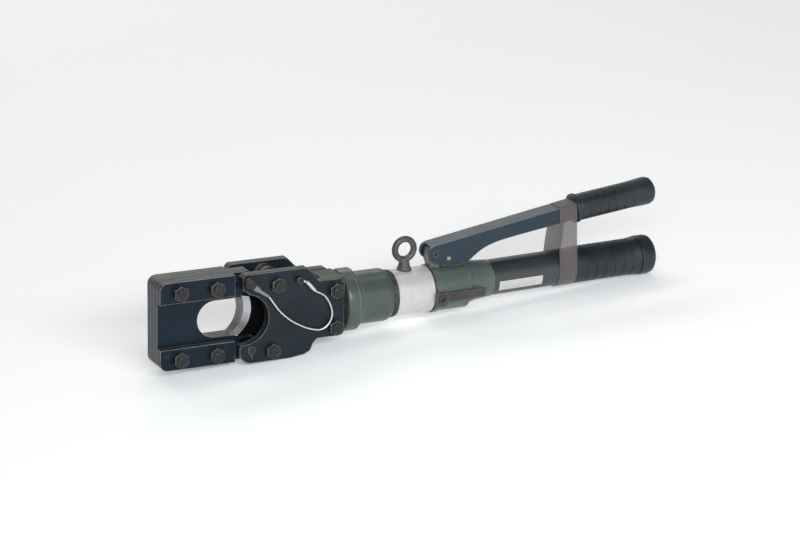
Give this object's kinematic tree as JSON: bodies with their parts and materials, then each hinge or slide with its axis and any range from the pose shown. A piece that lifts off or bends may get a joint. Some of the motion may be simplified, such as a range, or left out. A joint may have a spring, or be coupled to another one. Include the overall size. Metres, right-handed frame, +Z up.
{
  "type": "hydraulic cable cutter",
  "caption": "Hand-pumped hydraulic cable cutter: laminated swing-open cutting frame with a pinned latch, ram-driven blade, lifting eye, pump handle and reservoir-tube grip.",
  "frame": {"origin": "middle of the tool's bounding box, at the underside of the head plates", "axes": "+X along the hydraulic cylinder from the cutting head to the grips, +Y to the back of the head, +Z up through the lifting eye"},
  "size_m": [0.7471, 0.0848, 0.1822],
  "materials": {
    "blackened_steel": "satin",
    "dark_steel": "satin",
    "bright_steel": "polished",
    "green_grey_paint": "satin",
    "grey_forged": "matte",
    "brown_grey_paint": "satin",
    "silver_foil": "matte",
    "slate_paint": "satin",
    "navy_paint": "gloss",
    "brass": "satin",
    "black_rubber": "matte",
    "webbing": "matte"
  },
  "bodies": {
    "main": {"side_plate_front": "blackened_steel", "side_plate_rear": "blackened_steel", "yoke_block": "blackened_steel", "plate_studs": "dark_steel", "plate_nuts": "dark_steel", "hinge_pin": "dark_steel", "hinge_washers": "dark_steel", "upper_spacer": "dark_steel", "lower_spacer": "dark_steel", "guide_rails": "dark_steel", "anchor_screw": "dark_steel", "retaining_rings": "dark_steel", "release_screw": "dark_steel", "valve_plug": "dark_steel", "end_cap": "dark_steel", "return_spring": "dark_steel", "pump_gland": "dark_steel", "guide_plate": "bright_steel", "gland": "bright_steel", "lanyard_ferrules": "bright_steel", "lanyard_rope": "bright_steel", "lock_collar": "green_grey_paint", "hydraulic_cylinder": "green_grey_paint", "pump_body": "green_grey_paint", "eyebolt": "grey_forged", "label_band": "silver_foil", "name_plate": "silver_foil", "reservoir_tube": "navy_paint", "reservoir_bladder": "black_rubber", "lower_grip": "black_rubber", "strap_lower": "webbing"},
    "frame": {"frame_plate_front": "blackened_steel", "frame_plate_rear": "blackened_steel", "strip_front_top": "blackened_steel", "strip_front_bottom": "blackened_steel", "frame_plate_back": "blackened_steel", "frame_studs": "dark_steel", "frame_nuts": "dark_steel"},
    "cutter": {"blade_edge": "bright_steel", "blade_carrier": "dark_steel", "ram_head": "dark_steel", "ram": "bright_steel", "piston": "bright_steel", "piston_seal": "black_rubber"},
    "latch": {"latch_pin": "dark_steel", "latch_knob": "dark_steel", "latch_sleeve": "bright_steel"},
    "handle": {"handle_lever": "slate_paint", "pivot_pin": "dark_steel", "link_pin": "brass", "handle_tube": "slate_paint", "grip_collar": "black_rubber", "upper_grip": "black_rubber", "strap_upper": "webbing"},
    "plunger": {"pump_plunger": "bright_steel"},
    "release": {"release_lever": "brown_grey_paint"}
  },
  "joints": [
    {"name": "frame_hinge", "type": "hinge", "parent": "main", "child": "frame", "pos_m": [-0.2481, 0, 0.0175], "axis": [0, -1, 0], "range_deg": [0, 90]},
    {"name": "ram_slide", "type": "slide", "parent": "main", "child": "cutter", "axis": [-1, 0, 0], "range_m": [0, 0.072], "stiffness_N_per_m": 900, "springref_m": -0.02, "deforming": ["return_spring"]},
    {"name": "latch_slide", "type": "slide", "parent": "main", "child": "latch", "axis": [0, -1, 0], "range_m": [0, 0.03]},
    {"name": "handle_hinge", "type": "hinge", "parent": "main", "child": "handle", "pos_m": [0.03, 0, 0.1124], "axis": [0, -1, 0], "range_deg": [0, 50]},
    {"name": "plunger_slide", "type": "slide", "parent": "main", "child": "plunger", "axis": [0, 0, 1], "range_m": [0, 0.018]},
    {"name": "release_turn", "type": "hinge", "parent": "main", "child": "release", "pos_m": [0.029, -0.0335, 0.0559], "axis": [0, 1, 0], "range_deg": [0, 20]}
  ],
  "couplings": [
    {"joint": "plunger_slide", "follows": "handle_hinge", "m_per_rad": 0.02031}
  ]
}
